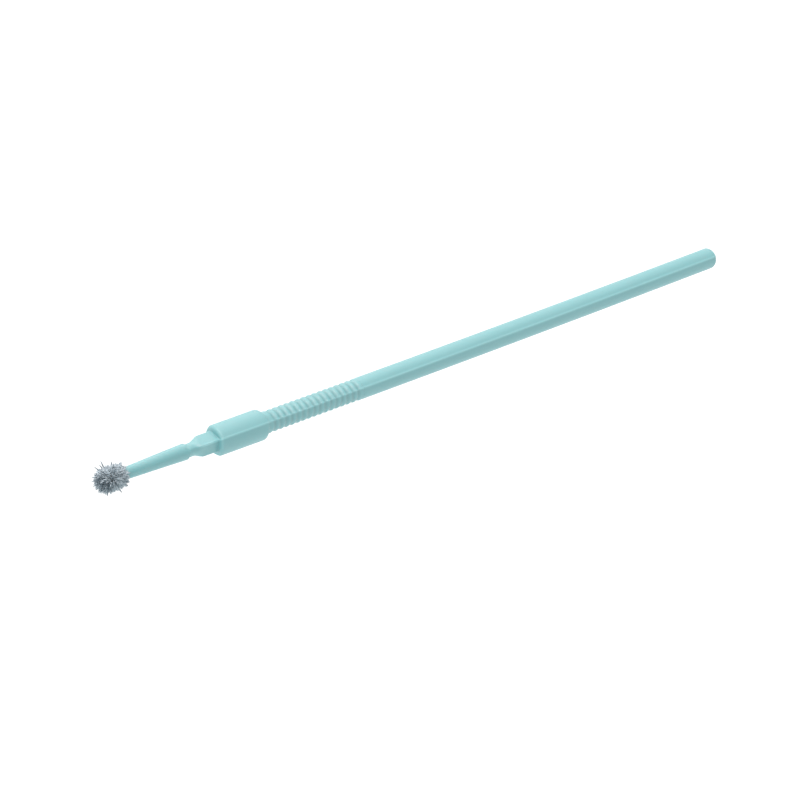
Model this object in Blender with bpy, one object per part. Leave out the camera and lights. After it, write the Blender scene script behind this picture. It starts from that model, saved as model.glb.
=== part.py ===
"""Micro applicator: a moulded polypropylene stick that bends at a thin neck, with a flocked nylon tip.

The stick lies along X with its tip towards -X, on its collar. Its section is a square with arched faces, one of
them facing down. The mould's parting plane holds X and one diagonal of it, so two corners are crisp and two round.
Run it with: blender --background --python part.py
"""

import math

import bmesh
import bpy

MM = 0.001

# Driving sizes, in metres. Every "_AT" is a distance along the stick from the front of the flock.
OVERALL_LENGTH = 100.0 * MM
FLOCK_LENGTH = 4.55 * MM
FLOCK_RADIUS = 1.65 * MM
FLOCK_MOUTH_AT = 3.85 * MM

CORE_TIP_AT = 1.6 * MM
CORE_TIP_RADIUS = 0.66 * MM
SHOULDER_AT = 12.9 * MM
SHOULDER_RADIUS = 1.02 * MM
WAIST_FRONT_AT = 13.36 * MM
HINGE_AT = 13.72 * MM
WAIST_BACK_AT = 14.08 * MM
WAIST_RADIUS = 1.05 * MM
WAIST_FLATNESS = 0.8
BLOCK_AT = 15.12 * MM
COLLAR_AT = 17.24 * MM
COLLAR_END_AT = 24.55 * MM
COLLAR_FRONT_RIM = 0.37 * MM
COLLAR_BACK_RIM = 0.57 * MM
END_RIM = 0.43 * MM

# Each section is (half its width across the parting plane, its corner radius, its bulge in degrees).
BLOCK_SECTION = (1.315 * MM, 0.3 * MM, 0)
COLLAR_SECTION = (1.94 * MM, 0.5 * MM, 63)
HANDLE_SECTION = (1.38 * MM, 0.36 * MM, 63)
ROUND = 90

GROOVE_COUNT = 16
FIRST_GROOVE_AT = 25.62 * MM
GROOVE_PITCH = 0.8623 * MM
GROOVE_DEPTH = 0.08 * MM

# The neck is one moulding with the nose and the handle. It is parted from them here so that it can bend.
NECK_GAP = 0.3 * MM
NECK_FRONT_AT = 12.5 * MM
NECK_BACK_AT = 14.85 * MM

# The glue is only a film, so it stands closer to its neighbours than the neck does.
GLUE_GAP = 0.1 * MM
GLUE_WALL = 0.12 * MM
GLUE_BACK_AT = 3.7 * MM

FACE_STEPS = 5  # odd, so that each arched face has a narrow flat along its middle, which the stick can lie on
CORNER_STEPS = 2
ROUND_STEPS = 24
BALL_STEPS = 6
RIM_STEPS = 4
RAMP_STEPS = 3
GROOVE_STEPS = 4


def half_outline(half, corner, bulge):
    """One mould half's outline, as (along, across) points in the section, where `along` lies in the parting plane.

    A corner arc stands at the top, and an arched face runs down from it on each side to the parting plane.
    Each face turns through `bulge` degrees: 0 makes a square with two sharp corners, and 90 makes a circle.
    """
    start = math.radians((90 - bulge) / 2)
    points = []
    for step in range(CORNER_STEPS):
        angle = step / CORNER_STEPS * start
        points.append((corner * math.sin(angle), half - corner + corner * math.cos(angle)))
    if bulge == 0:
        first = (corner * math.sin(start), half - corner + corner * math.cos(start))
        for step in range(FACE_STEPS + 1):
            drop = step / FACE_STEPS * first[1]
            points.append((first[0] + drop, first[1] - drop))
    else:
        end = math.pi / 2 - start
        face = (half - corner * (1 - math.cos(start))) / (math.cos(start) - math.cos(end))
        for step in range(FACE_STEPS + 1):
            angle = start + step / FACE_STEPS * (end - start)
            out = face * math.sin(angle) - (face - corner) * math.sin(start)
            up = half - corner + face * math.cos(angle) - (face - corner) * math.cos(start)
            points.append((out, up))
    return points[::-1] + [(-out, up) for out, up in points[1:]]


def face_reach(half, corner, bulge):
    """How far the flat in the middle of a face stands from the axis."""
    out, up = half_outline(half, corner, bulge)[FACE_STEPS // 2]
    return (out + up) * math.sqrt(0.5)


AXIS_HEIGHT = face_reach(*COLLAR_SECTION)  # the stick lies on its collar


def along(distance):
    """The X of a point this far from the front of the flock, with the whole object centred on X = 0."""
    return distance - OVERALL_LENGTH / 2


def section_ring(distance, half, corner, bulge, flatness=1.0):
    """Points round the stick there, with the parting plane through the corners at -Y +Z and +Y -Z.

    `flatness` scales the section across the parting plane.
    """
    outline = half_outline(half, corner, bulge)[:-1]
    outline += [(-out, -up) for out, up in outline]
    ring = []
    for out, up in outline:
        y = (flatness * up - out) * math.sqrt(0.5)
        z = (flatness * up + out) * math.sqrt(0.5)
        ring.append((along(distance), y, AXIS_HEIGHT + z))
    return ring


def loft(bm, rings):
    """A closed body through rings that all have the same number of points, with a flat cap at each end."""
    loops = [[bm.verts.new(point) for point in ring] for ring in rings]
    for front, back in zip(loops, loops[1:]):
        for i in range(len(front)):
            j = (i + 1) % len(front)
            bm.faces.new((front[i], front[j], back[j], back[i]))
    bm.faces.new(loops[0])
    bm.faces.new(loops[-1])


def turn(bm, profile):
    """Spins a profile of (distance, radius) points once round the stick's axis."""
    points = [bm.verts.new((along(distance), radius, AXIS_HEIGHT)) for distance, radius in profile]
    edges = [bm.edges.new(pair) for pair in zip(points, points[1:])]
    if profile[0][1] > 0:
        edges.append(bm.edges.new((points[-1], points[0])))
    bmesh.ops.spin(
        bm,
        geom=points + edges,
        axis=(1, 0, 0),
        cent=(0, 0, AXIS_HEIGHT),
        steps=ROUND_STEPS,
        angle=2 * math.pi,
    )
    bmesh.ops.remove_doubles(bm, verts=bm.verts, dist=0.001 * MM)


def finish(bm, name, material, origin_at):
    """Makes the named object from the mesh, with its origin on the stick's axis at `origin_at`."""
    bmesh.ops.recalc_face_normals(bm, faces=bm.faces)
    origin = (along(origin_at), 0, AXIS_HEIGHT)
    bmesh.ops.translate(bm, verts=bm.verts, vec=[-value for value in origin])
    mesh = bpy.data.meshes.new(name)
    bm.to_mesh(mesh)
    bm.free()
    mesh.materials.append(material)
    mesh.shade_smooth()
    mesh.set_sharp_from_angle(angle=math.radians(35))
    obj = bpy.data.objects.new(name, mesh)
    obj.location = origin
    bpy.context.collection.objects.link(obj)
    return obj


def material(name, color, roughness):
    made = bpy.data.materials.new(name)
    made.use_nodes = True
    shader = made.node_tree.nodes["Principled BSDF"]
    shader.inputs["Base Color"].default_value = (*color, 1)
    shader.inputs["Roughness"].default_value = roughness
    shader.inputs["Metallic"].default_value = 0
    return made


def inset_ring(distance, inset, section):
    """A ring of the section, drawn in by `inset` all round."""
    half, corner, bulge = section
    return section_ring(distance, half - inset, max(corner - inset, 0.05 * MM), bulge)


def rim(start, direction, radius, section):
    """Rings that round an end over, from its face at `start` to its full size, `radius` further in."""
    rings = []
    for step in range(RIM_STEPS + 1):
        angle = step / RIM_STEPS * math.pi / 2
        distance = start + direction * radius * (1 - math.cos(angle))
        rings.append(inset_ring(distance, radius * (1 - math.sin(angle)), section))
    return rings


def groove_rings():
    """Rings along the ribbed grip: a cosine wave with its low points at the grooves."""
    rings = []
    last = GROOVE_STEPS * (GROOVE_COUNT - 1) + GROOVE_STEPS // 2
    for step in range(-GROOVE_STEPS // 2, last + 1):
        phase = step / GROOVE_STEPS
        inset = GROOVE_DEPTH * (1 + math.cos(2 * math.pi * phase)) / 2
        rings.append(inset_ring(FIRST_GROOVE_AT + phase * GROOVE_PITCH, inset, HANDLE_SECTION))
    return rings


def make_handle():
    """The rigid rear of the moulding: neck block, finger collar, ribbed grip and plain shank."""
    rings = [
        section_ring(NECK_BACK_AT + NECK_GAP, *BLOCK_SECTION),
        section_ring(COLLAR_AT, *BLOCK_SECTION),
    ]
    rings += rim(COLLAR_AT, 1, COLLAR_FRONT_RIM, COLLAR_SECTION)
    rings += reversed(rim(COLLAR_END_AT, -1, COLLAR_BACK_RIM, COLLAR_SECTION))
    rings.append(section_ring(COLLAR_END_AT, *HANDLE_SECTION))
    rings += groove_rings()
    rings += reversed(rim(OVERALL_LENGTH, -1, END_RIM, HANDLE_SECTION))
    bm = bmesh.new()
    loft(bm, rings)
    return finish(bm, "handle", POLYPROPYLENE, COLLAR_AT)


def ramp_ring(distance):
    """The neck's section between the waist and the block, which grows squarer and thicker on the way."""
    share = (distance - WAIST_BACK_AT) / (BLOCK_AT - WAIST_BACK_AT)
    half, corner, bulge = BLOCK_SECTION
    return section_ring(
        distance,
        WAIST_RADIUS + share * (half - WAIST_RADIUS),
        WAIST_RADIUS + share * (corner - WAIST_RADIUS),
        ROUND + share * (bulge - ROUND),
        WAIST_FLATNESS + share * (1 - WAIST_FLATNESS),
    )


def make_flexible_neck():
    """The thin web that bends: it runs from the round nose, through the waist, up to the square block."""
    front_radius = nose_radius(NECK_FRONT_AT)
    rings = [
        section_ring(NECK_FRONT_AT, front_radius, front_radius, ROUND),
        section_ring(SHOULDER_AT, SHOULDER_RADIUS, SHOULDER_RADIUS, ROUND),
        section_ring(WAIST_FRONT_AT, WAIST_RADIUS, WAIST_RADIUS, ROUND, WAIST_FLATNESS),
        section_ring(WAIST_BACK_AT, WAIST_RADIUS, WAIST_RADIUS, ROUND, WAIST_FLATNESS),
    ]
    for step in range(1, RAMP_STEPS + 1):
        rings.append(ramp_ring(WAIST_BACK_AT + step / RAMP_STEPS * (NECK_BACK_AT - WAIST_BACK_AT)))
    bm = bmesh.new()
    loft(bm, rings)
    return finish(bm, "flexible_neck", POLYPROPYLENE, HINGE_AT)


def nose_radius(distance):
    """The nose is a straight cone from its tip to its shoulder."""
    share = (distance - CORE_TIP_AT) / (SHOULDER_AT - CORE_TIP_AT)
    return CORE_TIP_RADIUS + share * (SHOULDER_RADIUS - CORE_TIP_RADIUS)


def cone_profile(offset, back_at):
    """A half outline that stands `offset` off the nose, from its rounded tip on the axis back to `back_at`."""
    radius = CORE_TIP_RADIUS + offset
    centre = CORE_TIP_AT + CORE_TIP_RADIUS
    profile = []
    for step in range(RIM_STEPS + 1):
        angle = step / RIM_STEPS * math.pi / 2
        profile.append((centre - radius * math.cos(angle), radius * math.sin(angle)))
    profile.append((back_at, nose_radius(back_at) + offset))
    return profile


def make_nose_cone():
    """The round tapered nose in front of the neck; its tip carries the glue and the flock."""
    profile = cone_profile(0, NECK_FRONT_AT - NECK_GAP)
    profile.append((NECK_FRONT_AT - NECK_GAP, 0))
    bm = bmesh.new()
    turn(bm, profile)
    return finish(bm, "nose_cone", POLYPROPYLENE, HINGE_AT)


def make_glue_coat():
    """The film of glue over the tip, as a thimble that is open at the back."""
    inner = cone_profile(GLUE_GAP, GLUE_BACK_AT)
    outer = cone_profile(GLUE_GAP + GLUE_WALL, GLUE_BACK_AT)
    bm = bmesh.new()
    turn(bm, outer + inner[::-1])
    return finish(bm, "glue_coat", GLUE, HINGE_AT)


def make_flock_head():
    """The ball that the flock's fibres fill, hollow where the glued tip stands in it and open at the back."""
    middle = FLOCK_LENGTH / 2
    mouth = math.asin((FLOCK_MOUTH_AT - middle) / middle)
    outer = [(0, 0)]
    for step in range(1, BALL_STEPS + 1):
        angle = step / BALL_STEPS * math.pi / 2
        outer.append((middle - middle * math.cos(angle), FLOCK_RADIUS * math.sin(angle)))
    for step in range(1, BALL_STEPS + 1):
        angle = step / BALL_STEPS * mouth
        outer.append((middle + middle * math.sin(angle), FLOCK_RADIUS * math.cos(angle)))
    inner = cone_profile(2 * GLUE_GAP + GLUE_WALL, FLOCK_MOUTH_AT)
    bm = bmesh.new()
    turn(bm, outer + inner[::-1])
    return finish(bm, "flock_head", NYLON_FLOCK, HINGE_AT)


for old in list(bpy.data.objects):
    bpy.data.objects.remove(old, do_unlink=True)

POLYPROPYLENE = material("aqua_polypropylene", (0.42, 0.71, 0.74), 0.38)
GLUE = material("clear_glue", (0.55, 0.6, 0.62), 0.25)
NYLON_FLOCK = material("grey_nylon_flock", (0.2, 0.25, 0.3), 0.9)

make_handle()
make_flexible_neck()
make_nose_cone()
make_glue_coat()
make_flock_head()
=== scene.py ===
# %% [markdown]
# # A flocked micro applicator
#
# This is a disposable applicator for cleaning small optics and fittings. One polypropylene moulding makes the
# long handle, the ribbed grip, the finger collar, a thin neck that bends, and a tapered nose. The tip of the
# nose is dipped in adhesive and flocked with short grey nylon fibres, which stand out as a soft ball.
#
# The script first loads the solid model as a frame, because every visible piece has to sit exactly where the
# solid piece is. All lengths are metres, and `MM` turns a size in millimetres into one.

# %% Load the frame
import math

import bpy
import numpy as np
from mathutils import Matrix, Vector


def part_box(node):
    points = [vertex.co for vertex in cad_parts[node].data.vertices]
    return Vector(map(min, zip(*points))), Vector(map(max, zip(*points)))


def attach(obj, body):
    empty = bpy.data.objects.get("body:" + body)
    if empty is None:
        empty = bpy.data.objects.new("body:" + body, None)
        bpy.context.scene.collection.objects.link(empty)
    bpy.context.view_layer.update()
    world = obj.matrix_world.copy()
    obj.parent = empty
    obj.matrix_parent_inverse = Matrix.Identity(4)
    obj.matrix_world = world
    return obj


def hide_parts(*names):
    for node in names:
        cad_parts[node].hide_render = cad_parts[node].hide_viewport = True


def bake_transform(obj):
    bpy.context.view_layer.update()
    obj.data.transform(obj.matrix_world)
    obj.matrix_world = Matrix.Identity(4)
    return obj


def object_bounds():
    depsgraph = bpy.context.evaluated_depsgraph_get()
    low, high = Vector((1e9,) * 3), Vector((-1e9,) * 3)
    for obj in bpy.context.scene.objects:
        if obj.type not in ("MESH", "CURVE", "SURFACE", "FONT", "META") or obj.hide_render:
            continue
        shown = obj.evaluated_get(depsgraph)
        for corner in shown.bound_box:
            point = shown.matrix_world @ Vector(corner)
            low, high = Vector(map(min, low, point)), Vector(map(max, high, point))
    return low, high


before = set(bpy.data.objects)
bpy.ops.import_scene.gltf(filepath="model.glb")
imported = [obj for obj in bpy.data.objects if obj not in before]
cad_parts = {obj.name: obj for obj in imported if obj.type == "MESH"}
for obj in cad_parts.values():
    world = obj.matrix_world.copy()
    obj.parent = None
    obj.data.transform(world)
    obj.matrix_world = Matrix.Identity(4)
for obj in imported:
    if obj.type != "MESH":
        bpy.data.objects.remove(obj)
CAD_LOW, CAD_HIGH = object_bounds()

MM = 0.001
print("nodes:", sorted(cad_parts))
print("solid model, mm:", [round((high - low) / MM, 2) for low, high in zip(CAD_LOW, CAD_HIGH)])

# %% [markdown]
# ## Where things are along the stick
#
# The stick lies along X, so one number says where anything is: its distance from the front of the flock. The
# frame's own boxes give the front, the axis and the length. The other sizes are the mould's, in millimetres.

# %% Places and sizes along the stick
FRONT_X = CAD_LOW.x
LENGTH = CAD_HIGH.x - CAD_LOW.x
HANDLE_LOW, HANDLE_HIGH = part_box("handle")
AXIS_Z = (HANDLE_LOW.z + HANDLE_HIGH.z) / 2

CORE_TIP_AT = 1.6 * MM
CORE_TIP_RADIUS = 0.66 * MM
SHOULDER_AT = 12.9 * MM
SHOULDER_RADIUS = 1.02 * MM
WAIST_FRONT_AT = 13.36 * MM
WAIST_BACK_AT = 14.08 * MM
BLOCK_AT = 15.12 * MM
FLARE_AT = WAIST_BACK_AT - 0.2 * MM
FLARE_END_AT = BLOCK_AT + 0.2 * MM
COLLAR_AT = 17.24 * MM
COLLAR_END_AT = 24.55 * MM
FIRST_GROOVE_AT = 25.62 * MM
GROOVE_PITCH = 0.8623 * MM
GROOVE_COUNT = 16
LAST_GROOVE_AT = FIRST_GROOVE_AT + (GROOVE_COUNT - 1) * GROOVE_PITCH

COLLAR_FRONT_RIM = 0.37 * MM
COLLAR_BACK_RIM = 0.57 * MM
END_RIM = 0.43 * MM
print("axis height, mm:", round(AXIS_Z / MM, 3), " last groove, mm:", round(LAST_GROOVE_AT / MM, 2))

# %% [markdown]
# ## Two small helpers
#
# Colours are written as sRGB hex values, because that is how a designer picks them. Cycles works in linear
# light, so one function turns them. A second small function adds a shader node with its settings and links,
# so that each material below reads as a list of what it is made of.

# %% Colour and node helpers
def linear(code):
    """A hex colour as linear RGBA: each channel is c / 12.92 below 0.04045, else ((c + 0.055) / 1.055)^2.4."""
    srgb = np.array([int(code[i : i + 2], 16) for i in (1, 3, 5)]) / 255
    light = np.where(srgb <= 0.04045, srgb / 12.92, ((srgb + 0.055) / 1.055) ** 2.4)
    return (*light.tolist(), 1.0)


def add(tree, kind, links=None, values=None, **settings):
    """Adds one node: `settings` are its properties, `values` its socket values and `links` what feeds it."""
    node = tree.nodes.new(kind)
    for name, value in settings.items():
        setattr(node, name, value)
    for socket, value in (values or {}).items():
        node.inputs[socket].default_value = value
    for socket, source in (links or {}).items():
        tree.links.new(source, node.inputs[socket])
    return node


print("aqua in linear light:", [round(c, 3) for c in linear("#9cd2d7")[:3]])

# %% [markdown]
# ## The moulded section
#
# The stick was moulded in two halves that meet in a plane through its axis. Seen from the end, each half has
# one rounded corner at the top and two arched faces, which run down to the parting plane and meet the other
# half there in a crisp corner. Only one quarter of the section has to be worked out, because the rest is its
# mirror image.
#
# The quarter could be drawn with a curve object and lofted, but then the flat block, the arched collar and
# the round nose would need three different curves. Here it is one formula. It is a small corner arc and then
# a face arc that turns through `bulge` degrees: 0 gives a flat face and 90 gives a circle. The points are
# spaced by length along the arcs and lie closer together near both corners, where the light changes fastest.

# %% The quarter section
QUARTER_STEPS = 24
LEAST_RADIUS = 1e-9


def quarter_section(share, half, corner, bulge):
    """Points (out, up) at these shares of the way from the top corner to the parting corner.

    The corner arc has radius `corner` and turns through (90 - bulge) / 2 degrees. The face arc then has the
    curvature that brings it down to up = 0 after `bulge` degrees. A chord of length t * sinc(turn / 2) at the
    middle angle gives each of its points, which stays exact when the face is flat.
    """
    turn = np.radians(bulge)
    start = (np.pi / 2 - turn) / 2
    corner_length = corner * start
    face_length = (half - corner + corner * np.cos(start)) * np.sqrt(2) / np.sinc(turn / (2 * np.pi))
    curvature = turn / face_length
    distance = share * (corner_length + face_length)
    angle = np.minimum(distance, corner_length) / np.maximum(corner, LEAST_RADIUS)
    along_face = np.maximum(distance - corner_length, 0)
    chord = along_face * np.sinc(curvature * along_face / (2 * np.pi))
    aim = start + curvature * along_face / 2
    out = corner * np.sin(angle) + chord * np.cos(aim)
    up = half - corner + corner * np.cos(angle) - chord * np.sin(aim)
    return out, up


quarter = np.arange(4 * QUARTER_STEPS) // QUARTER_STEPS
within = np.arange(4 * QUARTER_STEPS) % QUARTER_STEPS / QUARTER_STEPS
RING_SHARE = (1 - np.cos(np.pi * np.where(quarter % 2 == 0, within, 1 - within))) / 2
RING_OUT = np.where(quarter < 2, 1, -1)
RING_UP = np.where((quarter == 0) | (quarter == 3), 1, -1)
print("points round the stick:", len(RING_SHARE))

# %% [markdown]
# ## The stations along the stick
#
# The stick is a row of such sections, and each row of the table below is one of them: its distance, half
# thickness, corner radius, bulge, flatness and how much of the parting line shows. The zones follow the mould
# from front to back. Rounded rims are quarter circles, so their stations are spaced by angle and the arc
# stays smooth where it is tight.

# %% Section sizes and zone helpers
WAIST_RADIUS = 1.05 * MM
WAIST_FLATNESS = 0.8
WAIST_CORNER = 0.9 * MM
WAIST_BULGE = 76
BLOCK = (1.315 * MM, 0.3 * MM, 0)
COLLAR = (1.94 * MM, 0.5 * MM, 63)
HANDLE = (1.38 * MM, 0.36 * MM, 63)
ROUND = 90
END_BULGE = 90
COVE = 0.09 * MM
LEAST_CORNER = 0.05 * MM


def zone(distance, half, corner, bulge, flatness=1.0, seam=0.0):
    """Stacks stations as rows (distance, half, corner, bulge, flatness, seam). Any value may be an array."""
    columns = np.broadcast_arrays(distance, half, corner, bulge, flatness, seam)
    return np.stack(columns, axis=1).astype(float)


def smooth(share):
    """A smooth step from 0 to 1: 3 s^2 - 2 s^3."""
    return share * share * (3 - 2 * share)


def rounded_rim(face_at, direction, radius, section, steps=9):
    """A quarter circle from the end face at `face_at` out to the full section, `radius` further in."""
    half, corner, bulge = section
    angle = np.linspace(0, np.pi / 2, steps)
    inset = radius * (1 - np.sin(angle))
    distance = face_at + direction * radius * (1 - np.cos(angle))
    return zone(distance, half - inset, np.maximum(corner - inset, LEAST_CORNER), bulge, 1, 1)


def cove(face_at, direction, section, steps=5):
    """The small hollow quarter circle where a thinner part runs into the face at `face_at`."""
    half, corner, bulge = section
    angle = np.linspace(0, np.pi / 2, steps)
    grown = COVE * (1 - np.cos(angle))
    distance = face_at - direction * COVE * (1 - np.sin(angle))
    return zone(distance, half + grown, corner + grown, bulge, 1, 1)


print("thickness across the parting plane, mm: collar", 2 * COLLAR[0] / MM, " handle", 2 * HANDLE[0] / MM)

# %% [markdown]
# ### Nose and neck
#
# The nose is a plain round taper with a ball end. At its shoulder it steps down to the waist, where the
# plastic is thin enough to bend like a hinge. Behind the waist the round section swells into the square block.
# Each of its numbers moves with the same smooth step, so the surface has no crease until the block's own
# corners grow.

# %% Nose, waist and block stations
FIRST_TIP_ANGLE = 0.12
FINE_TAPER_AT = 12.4 * MM
FINE_TAPER_STEP = 0.05 * MM
TAPER_END_AT = SHOULDER_AT - 0.06 * MM
SHOULDER_SHARE = 0.6


def nose_radius(distance):
    """A straight taper from the core's tip to the shoulder."""
    share = (distance - CORE_TIP_AT) / (SHOULDER_AT - CORE_TIP_AT)
    return CORE_TIP_RADIUS + share * (SHOULDER_RADIUS - CORE_TIP_RADIUS)


tip_angle = np.linspace(FIRST_TIP_ANGLE, np.pi / 2, 9)[:-1]
tip_radius = CORE_TIP_RADIUS * np.sin(tip_angle)
nose_tip = zone(CORE_TIP_AT + CORE_TIP_RADIUS * (1 - np.cos(tip_angle)), tip_radius, tip_radius, ROUND)

taper_at = np.concatenate([
    np.linspace(CORE_TIP_AT + CORE_TIP_RADIUS, FINE_TAPER_AT, 44),
    np.linspace(FINE_TAPER_AT + FINE_TAPER_STEP, TAPER_END_AT, 8),
])
nose_taper = zone(taper_at, nose_radius(taper_at), nose_radius(taper_at), ROUND)

step_share = np.linspace(0, 1, 10)
step_down = smooth(step_share)
shoulder = zone(
    SHOULDER_AT + step_share * SHOULDER_SHARE * (WAIST_FRONT_AT - SHOULDER_AT),
    SHOULDER_RADIUS + step_down * (WAIST_RADIUS - SHOULDER_RADIUS),
    WAIST_CORNER,
    ROUND + step_down * (WAIST_BULGE - ROUND),
    1 + step_down * (WAIST_FLATNESS - 1),
)

waist_at = np.linspace(shoulder[-1, 0], FLARE_AT, 12)[1:-1]
waist = zone(waist_at, WAIST_RADIUS, WAIST_CORNER, WAIST_BULGE, WAIST_FLATNESS)

swell_share = np.linspace(0, 1, 30)
swell = smooth(swell_share)
flare = zone(
    FLARE_AT + swell_share * (FLARE_END_AT - FLARE_AT),
    WAIST_RADIUS + swell * (BLOCK[0] - WAIST_RADIUS),
    WAIST_CORNER + swell * (BLOCK[1] - WAIST_CORNER),
    WAIST_BULGE * (1 - swell),
    WAIST_FLATNESS + swell * (1 - WAIST_FLATNESS),
    swell,
)
block = zone(np.linspace(FLARE_END_AT, COLLAR_AT - COVE, 12)[1:-1], *BLOCK, 1, 1)
print("stations: nose", len(nose_tip) + len(nose_taper), " neck", len(shoulder) + len(waist) + len(flare))

# %% [markdown]
# ### Collar, ribs and handle
#
# The collar is the thickest part and keeps the fingers off the neck. Behind it the grip has ribs, which are
# shallow scallops: the raised part is a little broader than the groove between two of them. A cosine wave
# raised to a power gives that shape. After the last rib comes one fine line, as the edge of a mould's ribbed
# insert leaves.

# %% Collar, rib and handle stations
GROOVE_DEPTH = 0.1 * MM
GROOVE_SHARPNESS = 1.15
GROOVE_STATIONS = 12
INSERT_EDGE_AT = LAST_GROOVE_AT + 0.95 * GROOVE_PITCH
INSERT_EDGE_DEPTH = 0.03 * MM
INSERT_EDGE_WIDTH = 0.06 * MM
PLAIN_AT = INSERT_EDGE_AT + 0.4 * MM
END_SHRINK = np.array([0.75, 0.4, 0.1])
END_CORNER = 0.04 * MM


def grip_inset(distance):
    """Depth below the plain handle: ((1 + cos) / 2)^p over the ribs, plus a bell curve for the fine line."""
    phase = (distance - FIRST_GROOVE_AT) / GROOVE_PITCH
    ribbed = (phase > -0.5) & (phase < GROOVE_COUNT - 0.5)
    wave = ((1 + np.cos(2 * np.pi * phase)) / 2) ** GROOVE_SHARPNESS
    line = np.exp(-(((distance - INSERT_EDGE_AT) / INSERT_EDGE_WIDTH) ** 2))
    return np.where(ribbed, GROOVE_DEPTH * wave, 0) + INSERT_EDGE_DEPTH * line


collar_front = rounded_rim(COLLAR_AT, 1, COLLAR_FRONT_RIM, COLLAR)
collar_back = rounded_rim(COLLAR_END_AT, -1, COLLAR_BACK_RIM, COLLAR, 12)[::-1]
collar_body = zone(np.linspace(collar_front[-1, 0], collar_back[0, 0], 14)[1:-1], *COLLAR, 1, 1)

groove_step = np.arange(-GROOVE_STATIONS // 2, GROOVE_STATIONS * GROOVE_COUNT - GROOVE_STATIONS // 2 + 1)
grip_at = np.concatenate([
    np.linspace(COLLAR_END_AT + COVE, FIRST_GROOVE_AT - 0.5 * GROOVE_PITCH, 5)[1:-1],
    FIRST_GROOVE_AT + groove_step / GROOVE_STATIONS * GROOVE_PITCH,
    INSERT_EDGE_AT + np.linspace(-2.5, 2.5, 11) * INSERT_EDGE_WIDTH,
    np.linspace(PLAIN_AT, LENGTH - END_RIM, 60)[:-1],
])
grip_at = np.unique(np.round(grip_at, 8))
grip = zone(grip_at, HANDLE[0] - grip_inset(grip_at), HANDLE[1], HANDLE[2], 1, 1)

end_rim = rounded_rim(LENGTH, -1, END_RIM, HANDLE, 10)[::-1]
ending = np.linspace(0, 1, len(end_rim))
end_rim[:, 3] = HANDLE[2] + ending * (END_BULGE - HANDLE[2])
end_rim[:, 5] = 1 - ending
end_face = zone(LENGTH, end_rim[-1, 1] * END_SHRINK, END_CORNER * END_SHRINK, END_BULGE)

STATIONS = np.concatenate([
    nose_tip,
    nose_taper,
    shoulder,
    waist,
    flare,
    block,
    cove(COLLAR_AT, 1, BLOCK),
    collar_front,
    collar_body,
    collar_back,
    cove(COLLAR_END_AT, -1, HANDLE)[::-1],
    grip,
    end_rim,
    end_face,
])
print("stations in all:", len(STATIONS))

# %% [markdown]
# ### From stations to a mesh
#
# Every station is turned into a ring of points at once, as one array of stations by points. Where the two
# mould halves met, a fine bead of plastic was squeezed out. It is a bell-shaped bump a fifth of a millimetre
# wide, just on the lower half's side of the parting corner, and it shows as a thin bright line all along the
# stick, which a painted highlight on its crest brightens further. A long thin moulding also cools a little
# bent, so the rings follow a very shallow arc, less than the thickness of two sheets of paper.

# %% Ring points
SEAM_HEIGHT = 0.05 * MM
SEAM_WIDTH = 0.11 * MM
SEAM_DROP = 0.08 * MM
BOW = -0.17 * MM
BOW_FRONT_AT = 10 * MM


def bow_at(distance):
    """A parabola that is 0 at the neck and at the rear end, and BOW half-way between them."""
    middle = (BOW_FRONT_AT + LENGTH) / 2
    reach = (LENGTH - BOW_FRONT_AT) / 2
    return np.where(distance > BOW_FRONT_AT, BOW * (1 - ((distance - middle) / reach) ** 2), 0)


def rings_of(stations):
    """All ring points, as an array of stations x points x 3.

    `up` is across the parting plane, `out` lies in it, and both are turned 45 degrees to Y and Z.
    """
    distance, half, corner, bulge, flatness, seam = (column[:, None] for column in stations.T)
    out, up = quarter_section(RING_SHARE[None, :], half, corner, bulge)
    up = up * RING_UP
    out = out + seam * SEAM_HEIGHT * np.exp(-(((up + SEAM_DROP) / SEAM_WIDTH) ** 2))
    up = flatness * up + bow_at(distance)
    out = out * RING_OUT
    x = np.broadcast_to(FRONT_X + distance, out.shape)
    return np.stack([x, (up - out) / np.sqrt(2), AXIS_Z + (up + out) / np.sqrt(2)], axis=2)


def tube_mesh(name, rings):
    """A closed mesh through the rings, with a fan to a middle point at each end, all facing outwards."""
    count, points = rings.shape[:2]
    vertices = np.concatenate([rings.reshape(-1, 3), rings[0].mean(0)[None], rings[-1].mean(0)[None]])
    index = np.arange(count * points).reshape(count, points)
    following = np.roll(index, -1, axis=1)
    quads = np.stack([index[:-1], following[:-1], following[1:], index[1:]], axis=2).reshape(-1, 4)
    front = np.stack([np.full(points, count * points), following[0], index[0]], axis=1)
    back = np.stack([np.full(points, count * points + 1), index[-1], following[-1]], axis=1)
    mesh = bpy.data.meshes.new(name)
    mesh.from_pydata(vertices.tolist(), [], quads.tolist() + front.tolist() + back.tolist())
    mesh.validate()
    mesh.shade_smooth()
    mesh.set_sharp_from_angle(angle=math.radians(40))
    piece = bpy.data.objects.new(name, mesh)
    bpy.context.scene.collection.objects.link(piece)
    return piece


stick = tube_mesh("moulded_stick", rings_of(STATIONS))
print("moulded stick:", len(stick.data.vertices), "points,", len(stick.data.polygons), "faces")
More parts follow.
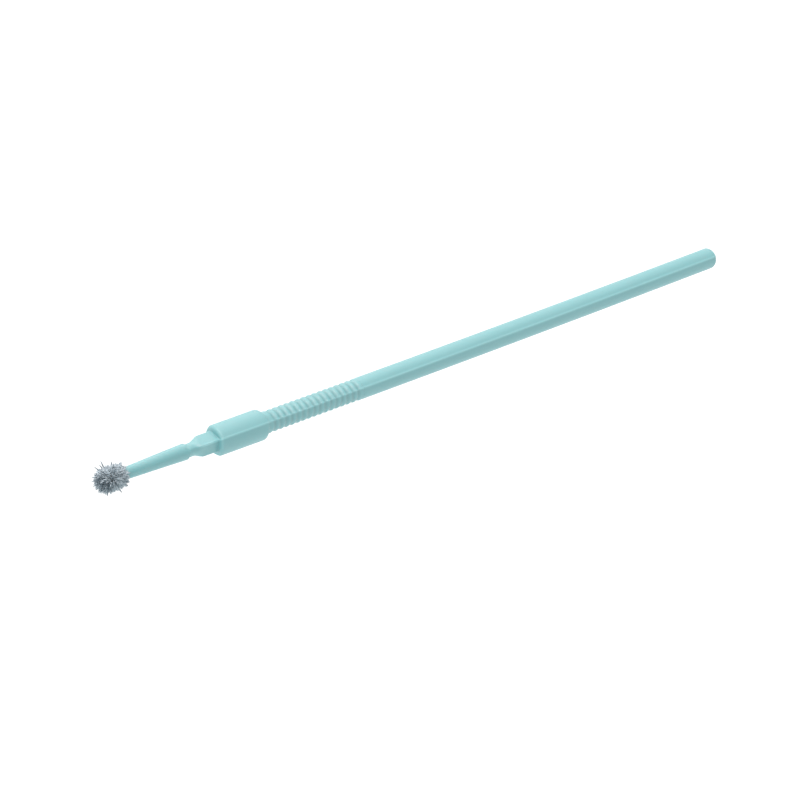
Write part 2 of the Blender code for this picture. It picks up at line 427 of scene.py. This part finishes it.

# %% [markdown]
# Two numbers at every point tell the material where it is. `bead` is 1 on the crest of the parting bead, which
# is painted paler than the rest, as a painted highlight. `groove` is 1 at the bottom of a groove between two
# ribs, which is painted a little darker than its depth alone would make it, as painted shade.

# %% Bead and groove attributes
distance, half, corner, bulge, flatness, seam = (column[:, None] for column in STATIONS.T)
across = quarter_section(RING_SHARE[None, :], half, corner, bulge)[1] * RING_UP
bead_share = seam * np.exp(-(((across + SEAM_DROP) / SEAM_WIDTH) ** 2))
groove_share = np.broadcast_to(np.minimum(grip_inset(distance) / GROOVE_DEPTH, 1), across.shape)
for label, share in (("bead", bead_share), ("groove", groove_share)):
    layer = stick.data.attributes.new(label, "FLOAT", "POINT")
    layer.data.foreach_set("value", np.append(share.ravel(), (0, 0)).astype(np.float32))
print("bead share up to", round(float(bead_share.max()), 2))
print("groove share up to", round(float(groove_share.max()), 2))

# %% [markdown]
# ### The neck
#
# The nose, the neck and the handle are one moulding, so the mesh is one piece too. It could have been cut at
# the waist, but then a gap would open as soon as the neck bends. Here the hinge point is set half-way along
# the waist, the solid handle, neck and nose are hidden, and the mesh's placement is baked into its points.

# %% Hinge point on the neck
HINGE_X = FRONT_X + (WAIST_FRONT_AT + WAIST_BACK_AT) / 2
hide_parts("handle", "flexible_neck", "nose_cone")
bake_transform(stick)

# %% [markdown]
# ## The adhesive
#
# The tip was dipped in adhesive before it was flocked. What is left is an uneven film with a soft wavy edge.
# It is a turned shape whose radius gets a few slow waves, and it is closed by running back along its own
# inside.

# %% Adhesive film
FILM_INNER = 0.02 * MM
FILM_OUTER = 0.27 * MM
FILM_BACK_AT = 3.9 * MM
FILM_POLE_SHARE = 0.04
FILM_LIP_SHARE = 0.2
FILM_POINTS = 48
FILM_OUTSIDE_RINGS = 22
FILM_INSIDE_RINGS = 16


def film_rings():
    """Rings of the film: out along the outside from the front pole, round the lip, and back along the inside.

    The outside stands off by FILM_OUTER times 1 + 0.15 sin(3a + 4s) + 0.1 sin(5a - 7s), with a the angle
    round the axis and s the distance in millimetres. Its rear edge lies 0.1 sin(3a + 1) + 0.06 sin(5a)
    millimetres behind FILM_BACK_AT. Over the last FILM_LIP_SHARE it thins with a quarter circle.
    """
    share = np.concatenate([
        np.linspace(FILM_POLE_SHARE, 1, FILM_OUTSIDE_RINGS),
        np.linspace(1, FILM_POLE_SHARE, FILM_INSIDE_RINGS),
    ])[:, None]
    outside = (np.arange(len(share)) < FILM_OUTSIDE_RINGS)[:, None]
    angle = np.linspace(0, 2 * np.pi, FILM_POINTS, endpoint=False)[None, :]
    cap = CORE_TIP_RADIUS * np.pi / 2
    back = FILM_BACK_AT + 0.1 * MM * np.sin(3 * angle + 1) + 0.06 * MM * np.sin(5 * angle)
    path = share * (cap + back - CORE_TIP_AT - CORE_TIP_RADIUS)
    bend = np.minimum(path, cap) / CORE_TIP_RADIUS
    centre_at = CORE_TIP_AT + CORE_TIP_RADIUS + np.maximum(path - cap, 0)
    lumps = 1 + 0.15 * np.sin(3 * angle + 4 * centre_at / MM) + 0.1 * np.sin(5 * angle - 7 * centre_at / MM)
    into_lip = np.clip((share - 1 + FILM_LIP_SHARE) / FILM_LIP_SHARE, 0, 1)
    thinned = np.sqrt(np.clip(1 - into_lip**2, 0, 1))
    film = FILM_INNER + (FILM_OUTER * lumps - FILM_INNER) * thinned
    stand_off = np.where(outside, film, FILM_INNER)
    radius = nose_radius(centre_at) + stand_off
    x = FRONT_X + centre_at - np.cos(bend) * radius
    y = -radius * np.sin(bend) * np.sin(angle)
    z = AXIS_Z + radius * np.sin(bend) * np.cos(angle)
    return np.stack(np.broadcast_arrays(x, y, z), axis=2)


film = tube_mesh("adhesive_film", film_rings())
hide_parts("glue_coat")
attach(film, "brush_tip")
print("adhesive film:", len(film.data.polygons), "faces")

# %% [markdown]
# ## The flock
#
# Flock is made of short cut nylon fibres that an electric field shoots into wet adhesive, so they all stand
# nearly square to the surface. They fill a ball round the tip, longest at the front. A hair system could grow
# them, but it isn't a mesh and wouldn't travel with the part. Here every fibre is a tiny tapered three-sided
# rod in three lengths, and all of them are one array. Real flock is about 0.02 mm thick, which is too fine
# to draw, so each rod stands for a few fibres that stick together.
#
# Directions are spread evenly with the golden angle. Each fibre then leans towards the middle of its tuft,
# because damp flock gathers in tufts, and a few strays stand out well beyond the rest.

# %% Flock directions and tufts
FLOCK_LOW, FLOCK_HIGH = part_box("flock_head")
FIBRES = 7000
TUFTS = 380
LOOSE_PULL = 0.1
TUFT_PULL = 0.9
TUFT_SHARE = 0.3
DIRECTION_SPREAD = 0.05
FLOCK_RADIUS = 1.57 * MM
FLOCK_HALF_LENGTH = 2.2 * MM
FLOCK_CENTRE_AT = 2.35 * MM
FLOCK_BACK_ANGLE = math.radians(146)
LEAST_SINE = 0.2
rng = np.random.default_rng(11)


def spread(count):
    """Polar angle from the front and angle round the axis, spread evenly by turning on by the golden angle."""
    step = np.arange(count) + 0.5
    polar = np.arccos(1 - step / count * (1 - math.cos(FLOCK_BACK_ANGLE)))
    return polar, step * np.pi * (3 - np.sqrt(5))


def toward(polar, around):
    """Unit vectors for those two angles, with the front along -X."""
    side = np.sin(polar)
    return np.stack([-np.cos(polar), -side * np.sin(around), side * np.cos(around)], axis=-1)


polar, around = spread(FIBRES)
polar = polar + rng.normal(0, DIRECTION_SPREAD, FIBRES)
polar = np.clip(polar, 0, FLOCK_BACK_ANGLE + DIRECTION_SPREAD)
around = around + rng.normal(0, DIRECTION_SPREAD, FIBRES) / np.maximum(np.sin(polar), LEAST_SINE)
way = toward(polar, around)
tuft_ways = way[rng.choice(FIBRES, TUFTS, replace=False)]
tuft_of = np.argmax(way @ tuft_ways.T, axis=1)
print("solid flock, mm:", [round((high - low) / MM, 2) for low, high in zip(FLOCK_LOW, FLOCK_HIGH)])
print("fibres in a tuft, on average:", round(FIBRES / TUFTS, 1))

# %% [markdown]
# A fibre starts part of the way up through the film and ends on a barrel, the surface where |x|^p + r^p = 1 once
# both are divided by the ball's own half sizes. A power of 2 would give a plain ball, and a higher one gives
# fuller shoulders. Fibres in a tuft share their reach, and loose ones each have their own, with a few long ones.
# Eight strays get their directions and reaches one by one, in clumps thicker than the rest.

# %% Fibre roots and tips
ROOT_DEPTH = 0.6
ROOT_BACK_AT = FILM_BACK_AT - 0.1 * MM
LOOSE_SPREAD = 0.1
TUFT_REACH = 1.01
TUFT_REACH_SPREAD = 0.08
TUFT_RAGGEDNESS = 0.02
LOOSE_REACH = 0.91
LOOSE_REACH_SPREAD = 0.04
LOOSE_EXTRA = 0.03
BARREL_POWER = 2.6
LEAST_TIP_Z = 0.04 * MM

behind = np.clip((polar - np.pi / 2) / (FLOCK_BACK_ANGLE - np.pi / 2), 0, 1)
cap_at = CORE_TIP_AT + CORE_TIP_RADIUS
root_at = cap_at + behind * (ROOT_BACK_AT - cap_at)
root_bend = np.minimum(polar, np.pi / 2)
roots = toward(root_bend, around) * (nose_radius(root_at) + ROOT_DEPTH * FILM_OUTER)[:, None]
roots[:, 0] += FRONT_X + root_at
roots[:, 2] += AXIS_Z

in_tuft = rng.uniform(0, 1, FIBRES) < TUFT_SHARE
pull = np.where(in_tuft, TUFT_PULL, LOOSE_PULL)[:, None]
tip_way = way + pull * (tuft_ways[tuft_of] - way)
tip_way = tip_way + rng.normal(0, LOOSE_SPREAD, way.shape) * (1 - pull)
tip_way = tip_way / np.linalg.norm(tip_way, axis=1, keepdims=True)
tuft_reach = rng.normal(TUFT_REACH, TUFT_REACH_SPREAD, TUFTS)[tuft_of]
loose_reach = rng.normal(LOOSE_REACH, LOOSE_REACH_SPREAD, FIBRES)
loose_reach = loose_reach + rng.exponential(LOOSE_EXTRA, FIBRES)
ragged_reach = tuft_reach * rng.normal(1, TUFT_RAGGEDNESS, FIBRES)
reach = np.where(in_tuft, ragged_reach, loose_reach)
centre = np.array([FRONT_X + FLOCK_CENTRE_AT, 0, AXIS_Z])
ball = np.array([FLOCK_HALF_LENGTH, FLOCK_RADIUS, FLOCK_RADIUS])
tip_along = np.abs(tip_way[:, 0])
tip_across = np.linalg.norm(tip_way[:, 1:], axis=1)
barrel = (tip_along**BARREL_POWER + tip_across**BARREL_POWER) ** (-1 / BARREL_POWER)
tips = centre + tip_way * ball * (barrel * reach)[:, None]

STRAY_WAYS = np.array([
    (-0.16, 0.79, 0.59),
    (-0.48, 0.82, 0.31),
    (-0.35, 0.75, 0.55),
    (-0.85, -0.35, 0.1),
    (-0.8, 0.2, 0.35),
    (-0.6, -0.6, -0.45),
    (0.1, -0.8, -0.35),
    (0.3, 0.6, 0.75),
])
STRAY_REACH = np.array([2.42, 2.42, 2.15, 2.5, 2.45, 2.25, 2.1, 2.0]) * MM
stray_way = STRAY_WAYS / np.linalg.norm(STRAY_WAYS, axis=1)[:, None]
stray = np.argmax(stray_way @ way.T, axis=1)
tips[stray] = centre + stray_way * STRAY_REACH[:, None]
tips[:, 2] = np.maximum(tips[:, 2], LEAST_TIP_Z)
print("fibre length, mm:", round(float(np.linalg.norm(tips - roots, axis=1).mean()) / MM, 2))

# %% [markdown]
# With its two ends known, each fibre is built as a thin rod that bows a little to one side. Rods in a tuft are
# drawn thicker, as they stand for more real fibres, and the strays are drawn thickest.

# %% Fibre mesh
FIBRE_RADIUS = 0.034 * MM
FIBRE_SIDES = 3
FIBRE_BOW = 0.05 * MM
LEAST_GIRTH = 0.75
MOST_GIRTH = 1.2
TUFT_GIRTH = 1.35
STRAY_GIRTH = 2.8
FIBRE_TAPER = np.array([1.0, 1.0, 0.95, 0.4])


def fibre_points():
    """All points, as fibres x joints x sides x 3.

    The middle line is straight from root to tip plus a sideways bow of sin(pi * share). Each joint is a ring
    in the plane square to the fibre, with a radius of FIBRE_RADIUS times the taper times the fibre's girth.
    """
    share = np.linspace(0, 1, len(FIBRE_TAPER))[None, :, None]
    along = tips - roots
    heading = along / np.linalg.norm(along, axis=1, keepdims=True)
    side = np.cross(heading, rng.normal(0, 1, along.shape))
    side = side / np.linalg.norm(side, axis=1, keepdims=True)
    other = np.cross(heading, side)
    bowed = side[:, None] * np.sin(np.pi * share) * rng.normal(0, FIBRE_BOW, (FIBRES, 1, 1))
    middle = roots[:, None] + along[:, None] * share + bowed
    angle = np.arange(FIBRE_SIDES) / FIBRE_SIDES * 2 * np.pi
    ring = side[:, None] * np.cos(angle)[None, :, None] + other[:, None] * np.sin(angle)[None, :, None]
    girth = rng.uniform(LEAST_GIRTH, MOST_GIRTH, FIBRES)
    girth[in_tuft] *= TUFT_GIRTH
    girth[stray] = STRAY_GIRTH
    width = FIBRE_RADIUS * FIBRE_TAPER[None, :, None, None] * girth[:, None, None, None]
    return middle[:, :, None] + ring[:, None] * width


def fibre_faces():
    """Quads along each rod and a triangle at each end, for one rod, then shifted on for every fibre."""
    joints = len(FIBRE_TAPER)
    index = np.arange(joints * FIBRE_SIDES).reshape(joints, FIBRE_SIDES)
    following = np.roll(index, -1, axis=1)
    quads = np.stack([index[:-1], following[:-1], following[1:], index[1:]], axis=2).reshape(-1, 4)
    shift = np.arange(FIBRES)[:, None, None] * joints * FIBRE_SIDES
    root_caps = index[0][::-1][None, None] + shift
    tip_caps = index[-1][None, None] + shift
    return (quads[None] + shift).reshape(-1, 4), np.concatenate([root_caps, tip_caps]).reshape(-1, 3)


points = fibre_points()
rods, caps = fibre_faces()
flock_mesh = bpy.data.meshes.new("flock_fibres")
flock_mesh.from_pydata(points.reshape(-1, 3).tolist(), [], rods.tolist() + caps.tolist())
flock_mesh.shade_smooth()
flock = bpy.data.objects.new("flock_fibres", flock_mesh)
bpy.context.scene.collection.objects.link(flock)
print("flock:", FIBRES, "fibres,", len(flock_mesh.polygons), "faces")

# %% [markdown]
# Each fibre also gets two numbers that its material reads. `tone` differs from fibre to fibre and from tuft to
# tuft, as the dye takes unevenly. It is lowered at the front underside of the ball as painted shade, and it is
# lowest in the strays. `height` runs from 0 at the root to 1 at the tip, where more light reaches it.

# %% Fibre attributes
# Painted shade: fibres pointing this way, to the front underside of the ball, get a lower tone.
PAINTED_SHADE_WAY = np.array([-0.92, -0.38, 0.08])
PAINTED_SHADE_SPREAD = 0.6
PAINTED_SHADE_DEPTH = 0.6
MEAN_TONE = 0.75
TUFT_TONE_SPREAD = 0.18
FIBRE_TONE_SPREAD = 0.2
DARK_TUFT_SHARE = 0.07
DARK_TUFT_SHADE = 0.4
STRAY_TONE = 0.0
tuft_tone = rng.normal(0, TUFT_TONE_SPREAD, TUFTS)
tuft_tone = tuft_tone - DARK_TUFT_SHADE * (rng.uniform(0, 1, TUFTS) < DARK_TUFT_SHARE)
off_painted_shade_way = np.arccos(np.clip(way @ PAINTED_SHADE_WAY / np.linalg.norm(PAINTED_SHADE_WAY), -1, 1))
painted_front_shade = np.exp(-((off_painted_shade_way / PAINTED_SHADE_SPREAD) ** 2))
fibre_tone = MEAN_TONE + tuft_tone[tuft_of] + rng.normal(0, FIBRE_TONE_SPREAD, FIBRES)
fibre_tone = np.clip(fibre_tone - PAINTED_SHADE_DEPTH * painted_front_shade, 0, 1)
fibre_tone[stray] = STRAY_TONE
per_fibre = points.shape[1] * points.shape[2]
tone = flock_mesh.attributes.new("tone", "FLOAT", "POINT")
tone.data.foreach_set("value", np.repeat(fibre_tone, per_fibre).astype(np.float32))
height = flock_mesh.attributes.new("height", "FLOAT", "POINT")
rise = np.repeat(np.linspace(0, 1, points.shape[1]), points.shape[2])
height.data.foreach_set("value", np.tile(rise, FIBRES).astype(np.float32))
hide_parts("flock_head")
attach(flock, "brush_tip")
print("tone from", round(float(fibre_tone.min()), 2), "to", round(float(fibre_tone.max()), 2))

# %% [markdown]
# ## Polypropylene, injection moulded
#
# Polypropylene is slightly milky. Light enters it a little, so edges and ribs look soft, and the polished
# mould leaves a satin gloss rather than a mirror. The colour is a pale aqua dye that is almost even. Streaks
# along the flow of the melt and a faint orange-peel, both drawn in fractions of a millimetre, keep it from
# looking like a perfect computer surface. The parting bead is painted paler, as a painted highlight, and the
# grooves are painted a little darker, as painted shade. The specular level is twice the usual one, because
# the object's upper faces look that glossy.

# %% Polypropylene material
PP_LIGHT = "#7db9bd"
PP_DEEP = "#77b4b8"
# PP_BEAD_HIGHLIGHT is a painted highlight: the crest of the parting bead is coloured paler than the plastic.
PP_BEAD_HIGHLIGHT = "#96d1d5"
# GROOVE_SHADE is painted shade: the bottoms of the grooves are coloured darker than the plastic.
GROOVE_SHADE = 0.15
STREAK_SCALE = (0.12 / MM, 1.1 / MM, 1.1 / MM)
GRAIN_SCALE = 3.2 / MM
PEEL_HEIGHT = 0.012 * MM
STREAK_HEIGHT = 0.04 * MM
SCATTER_REACH = 0.25 * MM


def moulded_polypropylene():
    """Principled shader: dyed base with flow streaks, satin roughness, slight scatter and a fine moulded bump.

    The base runs from PP_DEEP to PP_LIGHT with the streaks, turns to PP_BEAD_HIGHLIGHT with `bead` as a painted
    highlight, and is multiplied by 1 - GROOVE_SHADE * `groove` as painted shade in the grooves.
    """
    material = bpy.data.materials.new("polypropylene_injection_moulded")
    material.use_nodes = True
    tree = material.node_tree
    tree.nodes.clear()
    place = add(tree, "ShaderNodeTexCoord")
    streak_space = add(
        tree,
        "ShaderNodeMapping",
        links={"Vector": place.outputs["Object"]},
        values={"Scale": STREAK_SCALE},
    )
    streaks = add(
        tree,
        "ShaderNodeTexNoise",
        links={"Vector": streak_space.outputs["Vector"]},
        values={"Scale": 1.0, "Detail": 3.0, "Roughness": 0.55},
    )
    grain = add(
        tree,
        "ShaderNodeTexNoise",
        links={"Vector": place.outputs["Object"]},
        values={"Scale": GRAIN_SCALE, "Detail": 4.0, "Roughness": 0.6},
    )
    dye = add(
        tree,
        "ShaderNodeMix",
        data_type="RGBA",
        links={"Factor": streaks.outputs["Fac"]},
        values={"A": linear(PP_DEEP), "B": linear(PP_LIGHT)},
    )
    bead = add(tree, "ShaderNodeAttribute", attribute_name="bead")
    # Painted highlight: the crest of the parting bead takes the paler colour.
    bead_highlighted = add(
        tree,
        "ShaderNodeMix",
        data_type="RGBA",
        links={"Factor": bead.outputs["Fac"], "A": dye.outputs["Result"]},
        values={"B": linear(PP_BEAD_HIGHLIGHT)},
    )
    groove = add(tree, "ShaderNodeAttribute", attribute_name="groove")
    # Painted shade: the base colour darkens towards the bottom of each groove.
    painted_groove_shade = add(
        tree,
        "ShaderNodeMapRange",
        links={"Value": groove.outputs["Fac"]},
        values={"From Min": 0.0, "From Max": 1.0, "To Min": 1.0, "To Max": 1 - GROOVE_SHADE},
    )
    base = add(
        tree,
        "ShaderNodeVectorMath",
        operation="SCALE",
        links={"Vector": bead_highlighted.outputs["Result"], "Scale": painted_groove_shade.outputs["Result"]},
    )
    gloss = add(
        tree,
        "ShaderNodeMapRange",
        links={"Value": grain.outputs["Fac"]},
        values={"From Min": 0.3, "From Max": 0.7, "To Min": 0.36, "To Max": 0.46},
    )
    peel = add(
        tree,
        "ShaderNodeBump",
        links={"Height": grain.outputs["Fac"]},
        values={"Strength": 0.18, "Distance": PEEL_HEIGHT},
    )
    flow = add(
        tree,
        "ShaderNodeBump",
        links={"Height": streaks.outputs["Fac"], "Normal": peel.outputs["Normal"]},
        values={"Strength": 0.3, "Distance": STREAK_HEIGHT},
    )
    shader = add(
        tree,
        "ShaderNodeBsdfPrincipled",
        links={
            "Base Color": base.outputs["Vector"],
            "Roughness": gloss.outputs["Result"],
            "Normal": flow.outputs["Normal"],
        },
        values={
            "IOR": 1.49,
            "Specular IOR Level": 1.0,
            "Subsurface Weight": 0.2,
            "Subsurface Radius": (0.3, 1.0, 1.1),
            "Subsurface Scale": SCATTER_REACH,
        },
    )
    add(tree, "ShaderNodeOutputMaterial", links={"Surface": shader.outputs["BSDF"]})
    return material


stick.data.materials.append(moulded_polypropylene())
print("made", stick.data.materials[0].name)

# %% [markdown]
# ## Adhesive, dipped and cured
#
# The cured adhesive is a glossy skin that has taken up colour from the flock. Only glints of it show between
# the fibres, and it gives the depth of the ball its tone.

# %% Adhesive material
ADHESIVE_DEEP = "#93a6b1"
ADHESIVE_PALE = "#b2c4cd"
DRIP_SCALE = 1.6 / MM
DRIP_HEIGHT = 0.05 * MM


def cured_adhesive():
    """Principled shader: blue-grey skin, smooth, with a slow waviness from dripping."""
    material = bpy.data.materials.new("adhesive_dipped_and_cured")
    material.use_nodes = True
    tree = material.node_tree
    tree.nodes.clear()
    place = add(tree, "ShaderNodeTexCoord")
    clouds = add(
        tree,
        "ShaderNodeTexNoise",
        links={"Vector": place.outputs["Object"]},
        values={"Scale": DRIP_SCALE, "Detail": 3.0, "Roughness": 0.5},
    )
    skin = add(
        tree,
        "ShaderNodeMix",
        data_type="RGBA",
        links={"Factor": clouds.outputs["Fac"]},
        values={"A": linear(ADHESIVE_DEEP), "B": linear(ADHESIVE_PALE)},
    )
    drip = add(
        tree,
        "ShaderNodeBump",
        links={"Height": clouds.outputs["Fac"]},
        values={"Strength": 0.5, "Distance": DRIP_HEIGHT},
    )
    shader = add(
        tree,
        "ShaderNodeBsdfPrincipled",
        links={"Base Color": skin.outputs["Result"], "Normal": drip.outputs["Normal"]},
        values={"IOR": 1.5, "Roughness": 0.25, "Coat Weight": 0.3, "Coat Roughness": 0.1},
    )
    add(tree, "ShaderNodeOutputMaterial", links={"Surface": shader.outputs["BSDF"]})
    return material


film.data.materials.append(cured_adhesive())
print("made", film.data.materials[0].name)

# %% [markdown]
# ## Nylon flock, electrostatically applied
#
# The fibres are dyed a cool grey. Nylon rods are faintly glossy, so they carry a soft sheen. Their colour
# runs from a deep blue-grey to a pale one with `tone`, and it darkens slightly towards the root, where little
# light gets in.

# %% Flock material
FLOCK_DEEP = "#5f7683"
FLOCK_PALE = "#dcecf3"
ROOT_SHADE = 0.05


def nylon_flock():
    """Principled shader: a ramp over `tone`, multiplied by a shade that follows `height`."""
    material = bpy.data.materials.new("nylon_flock_electrostatic")
    material.use_nodes = True
    tree = material.node_tree
    tree.nodes.clear()
    tone_of = add(tree, "ShaderNodeAttribute", attribute_name="tone")
    height_of = add(tree, "ShaderNodeAttribute", attribute_name="height")
    dyed = add(
        tree,
        "ShaderNodeMix",
        data_type="RGBA",
        links={"Factor": tone_of.outputs["Fac"]},
        values={"A": linear(FLOCK_DEEP), "B": linear(FLOCK_PALE)},
    )
    depth = add(
        tree,
        "ShaderNodeMapRange",
        links={"Value": height_of.outputs["Fac"]},
        values={"From Min": 0.0, "From Max": 0.9, "To Min": 1 - ROOT_SHADE, "To Max": 1.0},
    )
    shaded = add(
        tree,
        "ShaderNodeVectorMath",
        operation="SCALE",
        links={"Vector": dyed.outputs["Result"], "Scale": depth.outputs["Result"]},
    )
    shader = add(
        tree,
        "ShaderNodeBsdfPrincipled",
        links={"Base Color": shaded.outputs["Vector"]},
        values={"IOR": 1.53, "Roughness": 0.6, "Sheen Weight": 0.15, "Sheen Roughness": 0.5},
    )
    add(tree, "ShaderNodeOutputMaterial", links={"Surface": shader.outputs["BSDF"]})
    return material


flock_mesh.materials.append(nylon_flock())
print("made", flock_mesh.materials[0].name)

# %% [markdown]
# ## Floor
#
# The stage copies one way of showing small goods, on clear glass a little above a pale sheet that glows from
# below. That takes the shadows away and lifts the undersides. Here the sheet is as far below the axis as the
# tip is from the neck, so that the tip clears it however the neck bends. Glass wouldn't be seen, so there is
# none.

# %% Floor
FLOOR_SIZE = 6.0
TABLE_GLOW = 0.97
TABLE_COLOUR = (0.975, 1.0, 1.0, 1.0)
TABLE_DEEP = "#6c6c6c"
TABLE_PALE = "#707070"


def glowing_table():
    """A pale matt sheet with very faint clouding that glows evenly."""
    material = bpy.data.materials.new("acrylic_sheet_opal")
    material.use_nodes = True
    tree = material.node_tree
    tree.nodes.clear()
    place = add(tree, "ShaderNodeTexCoord")
    clouds = add(
        tree,
        "ShaderNodeTexNoise",
        links={"Vector": place.outputs["Object"]},
        values={"Scale": 6.0},
    )
    tint = add(
        tree,
        "ShaderNodeMix",
        data_type="RGBA",
        links={"Factor": clouds.outputs["Fac"]},
        values={"A": linear(TABLE_DEEP), "B": linear(TABLE_PALE)},
    )
    shader = add(
        tree,
        "ShaderNodeBsdfPrincipled",
        links={"Base Color": tint.outputs["Result"]},
        values={
            "Roughness": 0.9,
            "Specular IOR Level": 0.1,
            "Emission Color": TABLE_COLOUR,
            "Emission Strength": TABLE_GLOW,
        },
    )
    add(tree, "ShaderNodeOutputMaterial", links={"Surface": shader.outputs["BSDF"]})
    return material


corners = np.array([(-1, -1, 0), (1, -1, 0), (1, 1, 0), (-1, 1, 0)]) * FLOOR_SIZE / 2
floor_mesh = bpy.data.meshes.new("table")
floor_mesh.from_pydata(corners.tolist(), [], [(0, 1, 2, 3)])
floor_mesh.materials.append(glowing_table())
floor = bpy.data.objects.new("table", floor_mesh)
floor.location.z = AXIS_Z - (HINGE_X - FRONT_X)
bpy.context.scene.collection.objects.link(floor)
print("table height, mm:", round(floor.location.z / MM, 3))

# %% [markdown]
# ## Lights and sky
#
# One large soft panel hangs above, so upper faces are lighter than front faces. A weaker one stands further
# back, where its reflection gives the upper faces their satin gloss. A third beyond the tip lights the faces
# that look forward, which brings out the ribs and the collar's rim. The lamps are a little warm and the sheet
# a little cool. The room is white, and lighter behind the stick, where a diffuser would stand.

# %% Lights and sky
KEY_POWER = 3.8
KEY_SIZE = 0.6
KEY_AT = Vector((-0.12, 0.18, 0.77))
GLOSS_POWER = 1.3
GLOSS_SIZE = 0.6
GLOSS_AT = Vector((0.15, 0.6, 0.46))
SIDE_POWER = 0.8
SIDE_SIZE = 0.4
SIDE_AT = Vector((-0.72, 0.0, 0.36))
SKY_FRONT = 0.5
SKY_BACK = 1.15
SKY_WAY = (0.0, 0.7, 0.7)
LAMP_COLOUR = (1.0, 0.83, 0.81)


def panel_light(name, location, target, size, power):
    """A square area light that looks from `location` to `target`."""
    lamp = bpy.data.lights.new(name, "AREA")
    lamp.shape = "SQUARE"
    lamp.size = size
    lamp.energy = power
    lamp.color = LAMP_COLOUR
    holder = bpy.data.objects.new(name, lamp)
    holder.location = location
    holder.rotation_mode = "QUATERNION"
    holder.rotation_quaternion = (location - target).to_track_quat("Z", "Y")
    bpy.context.scene.collection.objects.link(holder)
    return holder


panel_light("overhead_panel", KEY_AT, Vector((0, 0, 0)), KEY_SIZE, KEY_POWER)
panel_light("gloss_panel", GLOSS_AT, Vector((0, 0, 0)), GLOSS_SIZE, GLOSS_POWER)
panel_light("side_panel", SIDE_AT, Vector((0, 0, 0)), SIDE_SIZE, SIDE_POWER)

world = bpy.data.worlds.new("soft_white")
world.use_nodes = True
sky = world.node_tree
sky.nodes.clear()
direction = add(sky, "ShaderNodeTexCoord")
facing = add(
    sky,
    "ShaderNodeVectorMath",
    operation="DOT_PRODUCT",
    links={0: direction.outputs["Generated"]},
    values={1: SKY_WAY},
)
climb = add(
    sky,
    "ShaderNodeMapRange",
    links={"Value": facing.outputs["Value"]},
    values={"From Min": 0.0, "From Max": 1.0, "To Min": SKY_FRONT, "To Max": SKY_BACK},
)
glow = add(
    sky,
    "ShaderNodeBackground",
    links={"Strength": climb.outputs["Result"]},
    values={"Color": (1, 1, 1, 1)},
)
add(sky, "ShaderNodeOutputWorld", links={"Surface": glow.outputs["Background"]})
bpy.context.scene.world = world
bpy.context.scene.view_settings.view_transform = "Standard"
print("panel power, W:", KEY_POWER)

# %% [markdown]
# ## Camera
#
# A long lens looks down at the stick from the front left, with the tip nearest to it. It is given the way a
# photographer would: which way it looks from, how high, how far away, and how much it is tilted sideways.

# %% Camera
CAMERA_AZIMUTH = math.radians(-45.48)
CAMERA_ELEVATION = math.radians(36.95)
CAMERA_ROLL = math.radians(10.86)
CAMERA_DISTANCE = 419.95 * MM
CAMERA_LENS = 153.62
CAMERA_SENSOR = 36.0
CAMERA_TARGET = Vector((-7.37 * MM, -4.46 * MM, AXIS_Z))

level = math.cos(CAMERA_ELEVATION)
back = Vector((
    math.sin(CAMERA_AZIMUTH) * level,
    -math.cos(CAMERA_AZIMUTH) * level,
    math.sin(CAMERA_ELEVATION),
))
level_right = Vector((math.cos(CAMERA_AZIMUTH), math.sin(CAMERA_AZIMUTH), 0))
level_up = back.cross(level_right)
right = level_right * math.cos(CAMERA_ROLL) + level_up * math.sin(CAMERA_ROLL)
up = back.cross(right)
lens = bpy.data.cameras.new("studio_camera")
lens.lens = CAMERA_LENS
lens.sensor_width = CAMERA_SENSOR
lens.clip_start = 10 * MM
lens.clip_end = 20.0
camera = bpy.data.objects.new("studio_camera", lens)
turned = Matrix((right, up, back)).transposed().to_4x4()
camera.matrix_world = Matrix.Translation(CAMERA_TARGET + back * CAMERA_DISTANCE) @ turned
bpy.context.scene.collection.objects.link(camera)
bpy.context.scene.camera = camera
print("camera at, mm:", [round(value / MM, 1) for value in camera.matrix_world.translation])
